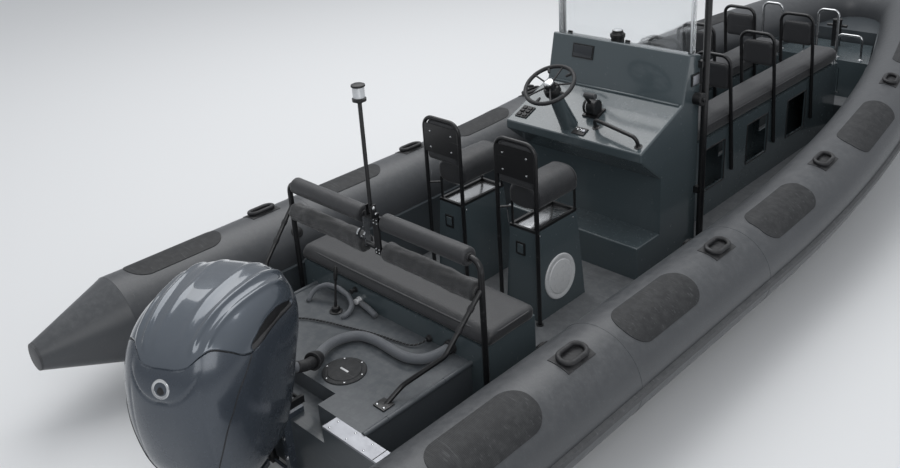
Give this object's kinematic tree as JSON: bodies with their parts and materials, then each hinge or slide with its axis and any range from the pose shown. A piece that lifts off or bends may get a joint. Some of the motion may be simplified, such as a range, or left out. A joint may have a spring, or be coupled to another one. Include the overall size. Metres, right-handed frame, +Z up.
{
  "type": "rigid inflatable boat",
  "caption": "Open rigid inflatable boat with a deep V hull, centre console, saddle seats, grab frames and a tilting, steering outboard engine.",
  "frame": {"origin": "on the centreline at the transom's aft face, at the waterline", "axes": "+X starboard, +Y towards the bow, +Z up"},
  "size_m": [2.9526, 8.5756, 2.979],
  "materials": {
    "tube_fabric": "satin coated fabric",
    "black_rubber": "matte",
    "patch_rubber": "matte ribbed",
    "hull_gelcoat": "gloss",
    "deck_paint": "matte non-slip",
    "moulded_grey": "satin",
    "stainless": "polished",
    "console_paint": "satin",
    "seat_vinyl": "matte vinyl",
    "black_tube": "satin powder coat",
    "pad_foam": "matte sleeve",
    "lamp_lens": "gloss",
    "clear_acrylic": "gloss",
    "black_plastic": "matte",
    "hose_black": "satin",
    "cowl_gloss": "gloss",
    "engine_paint": "gloss",
    "stainless_prop": "satin",
    "black_plastic_metal": "satin",
    "chrome_rod": "polished"
  },
  "bodies": {
    "boat": {"tube_starboard": "tube_fabric", "tube_port": "tube_fabric", "tube_bow": "tube_fabric", "rub_strake": "black_rubber", "wear_patches": "patch_rubber", "tube_handles": "black_rubber", "hull": "hull_gelcoat", "deck": "deck_paint", "bow_step": "deck_paint", "aft_platform": "moulded_grey", "transom_caps": "stainless", "rear_bench": "console_paint", "rear_cushion": "seat_vinyl", "seat_frame": "black_tube", "frame_pads": "pad_foam", "tow_eye": "stainless", "mast_bracket": "black_tube", "console": "console_paint", "console_arch": "black_tube", "windscreen": "clear_acrylic", "helm_column": "console_paint", "helm_controls": "black_plastic", "compass": "black_plastic", "console_rail": "black_tube", "pod_starboard": "console_paint", "pod_port": "console_paint", "pod_cushions": "seat_vinyl", "pod_backs": "seat_vinyl", "pod_frames": "black_tube", "inspection_hatches": "black_plastic", "bench_port": "console_paint", "bench_starboard": "console_paint", "bench_cushions": "seat_vinyl", "back_frames": "black_tube", "back_pads": "seat_vinyl", "bow_locker": "console_paint", "bow_post": "black_tube", "stainless_hoops": "stainless", "rigging_hose": "hose_black", "spiral_cable": "hose_black", "deck_fittings": "black_plastic", "stern_eyes": "stainless", "clamp_bracket": "engine_paint"},
    "helm": {"steering_wheel": "black_rubber"},
    "swivel": {"swivel_bracket": "engine_paint"},
    "engine": {"cowl_upper": "cowl_gloss", "cowl_lower": "cowl_gloss", "outboard_leg": "engine_paint"},
    "propeller": {"propeller": "stainless_prop"},
    "ram": {"steering_ram": "stainless"},
    "tilt_barrel": {"tilt_cylinder": "black_plastic_metal"},
    "tilt_rod": {"tilt_rod": "chrome_rod"},
    "mast": {"mast_pole": "black_tube", "mast_light": "lamp_lens"},
    "locker_door": {"bow_locker_door": "console_paint"}
  },
  "joints": [
    {"name": "outboard_tilt", "type": "hinge", "parent": "boat", "child": "swivel", "pos_m": [0, -0.01, 0.43], "axis": [-1, 0, 0], "range_deg": [0, 65], "deforming": ["rigging_hose"]},
    {"name": "outboard_steer", "type": "hinge", "parent": "swivel", "child": "engine", "pos_m": [0, -0.12, 0], "axis": [0, 0, 1], "range_deg": [-59.3, 4.7], "deforming": ["rigging_hose"]},
    {"name": "propeller_spin", "type": "hinge", "parent": "engine", "child": "propeller", "pos_m": [0.2041, -0.51543, -0.628], "axis": [-0.4587, 0.8886, 0], "continuous": true},
    {"name": "helm_turn", "type": "hinge", "parent": "boat", "child": "helm", "pos_m": [-0.166, 2.492, 1.3], "axis": [0, 0.506, -0.8625], "range_deg": [-1424, 114]},
    {"name": "ram_slide", "type": "slide", "parent": "swivel", "child": "ram", "axis": [1, 0, 0], "range_m": [-0.0134, 0.168]},
    {"name": "tilt_barrel_swing", "type": "hinge", "parent": "boat", "child": "tilt_barrel", "pos_m": [0, -0.032, 0.01], "axis": [1, 0, 0], "range_deg": [0, 7.1]},
    {"name": "tilt_rod_slide", "type": "slide", "parent": "tilt_barrel", "child": "tilt_rod", "axis": [0, -0.0872, 0.9962], "range_m": [0, 0.112]},
    {"name": "mast_fold", "type": "hinge", "parent": "boat", "child": "mast", "pos_m": [0.038, 0.74, 1.15], "axis": [-1, 0, 0], "range_deg": [0, 90]},
    {"name": "locker_door", "type": "hinge", "parent": "boat", "child": "locker_door", "pos_m": [0, 6.258, 0.267], "axis": [1, 0, 0], "range_deg": [0, 88]}
  ],
  "couplings": [
    {"joint": "helm_turn", "follows": "outboard_steer", "ratio": 24},
    {"joint": "ram_slide", "follows": "outboard_steer", "m_per_rad": -0.162},
    {"joint": "tilt_barrel_swing", "follows": "outboard_tilt", "ratio": 0.108},
    {"joint": "tilt_rod_slide", "follows": "outboard_tilt", "m_per_rad": 0.098}
  ]
}
